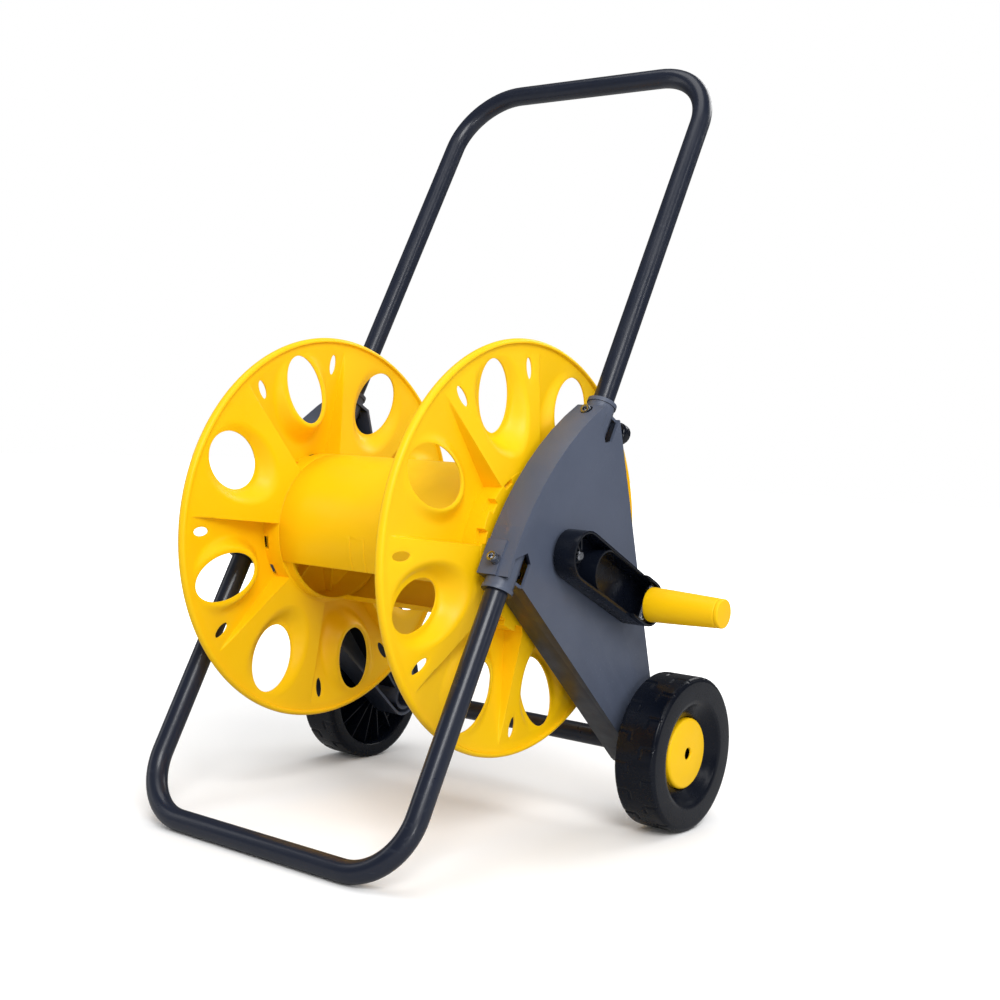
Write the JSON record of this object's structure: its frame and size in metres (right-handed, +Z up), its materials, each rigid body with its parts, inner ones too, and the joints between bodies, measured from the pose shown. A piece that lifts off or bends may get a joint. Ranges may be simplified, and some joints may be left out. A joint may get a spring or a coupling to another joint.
{
  "type": "garden hose reel cart",
  "caption": "Wheeled hose reel on a bent tube frame: two moulded side panels carry a reel with folded flanges, turned by a crank with a folding grip.",
  "frame": {"origin": "on the ground, under the middle of the foot bar", "axes": "+X along the reel's axis towards the crank, +Y from the foot bar towards the wheels, +Z up"},
  "size_m": [0.5317, 0.4879, 0.8],
  "materials": {
    "yellow_plastic": "smooth moulded, light sheen",
    "grey_plastic": "satin moulded",
    "black_plastic": "satin moulded",
    "tube_paint": "glossy powder coat on steel tube",
    "zinc_steel": "zinc plated",
    "seal_rubber": "matt"
  },
  "bodies": {
    "frame": {"handle_tube": "tube_paint", "foot_tube": "tube_paint", "side_panel_left": "grey_plastic", "side_panel_right": "grey_plastic", "cross_tube": "tube_paint", "axle_rod": "zinc_steel", "axle_washer_left": "zinc_steel", "axle_washer_right": "zinc_steel", "axle_retainer_left": "zinc_steel", "axle_retainer_right": "zinc_steel", "handle_bolt_left": "zinc_steel", "handle_bolt_right": "zinc_steel", "handle_nut": "zinc_steel", "handle_knob": "black_plastic", "foot_bolt_left": "zinc_steel", "foot_bolt_right": "zinc_steel", "foot_nut_left": "zinc_steel", "foot_nut_right": "zinc_steel"},
    "reel": {"flange_left": "yellow_plastic", "flange_right": "yellow_plastic", "drum_shell_front": "yellow_plastic", "drum_shell_rear": "yellow_plastic", "water_shaft": "grey_plastic", "inlet_seal": "seal_rubber", "crank_arm": "black_plastic", "crank_screw": "zinc_steel", "grip_pin": "zinc_steel"},
    "grip_spindle": {"grip_spindle": "zinc_steel"},
    "grip": {"grip": "yellow_plastic"},
    "inlet": {"inlet_connector": "black_plastic"},
    "wheel_left": {"wheel_left": "black_plastic", "hub_cap_left": "yellow_plastic"},
    "wheel_right": {"wheel_right": "black_plastic", "hub_cap_right": "yellow_plastic"}
  },
  "joints": [
    {"name": "reel_spin", "type": "hinge", "parent": "frame", "child": "reel", "pos_m": [0, 0.204, 0.2837], "axis": [1, 0, 0], "continuous": true},
    {"name": "grip_fold", "type": "hinge", "parent": "reel", "child": "grip_spindle", "pos_m": [0.2068, 0.31298, 0.2323], "axis": [0, -0.4266, -0.9045], "range_deg": [0, 90]},
    {"name": "grip_spin", "type": "hinge", "parent": "grip_spindle", "child": "grip", "pos_m": [0.2068, 0.31298, 0.2323], "axis": [1, 0, 0], "continuous": true},
    {"name": "inlet_swivel", "type": "hinge", "parent": "reel", "child": "inlet", "pos_m": [-0.2, 0.204, 0.2837], "axis": [1, 0, 0], "continuous": true},
    {"name": "wheel_left_spin", "type": "hinge", "parent": "frame", "child": "wheel_left", "pos_m": [-0.21, 0.369, 0.07836], "axis": [1, 0, 0], "continuous": true},
    {"name": "wheel_right_spin", "type": "hinge", "parent": "frame", "child": "wheel_right", "pos_m": [0.21, 0.369, 0.07836], "axis": [1, 0, 0], "continuous": true}
  ]
}
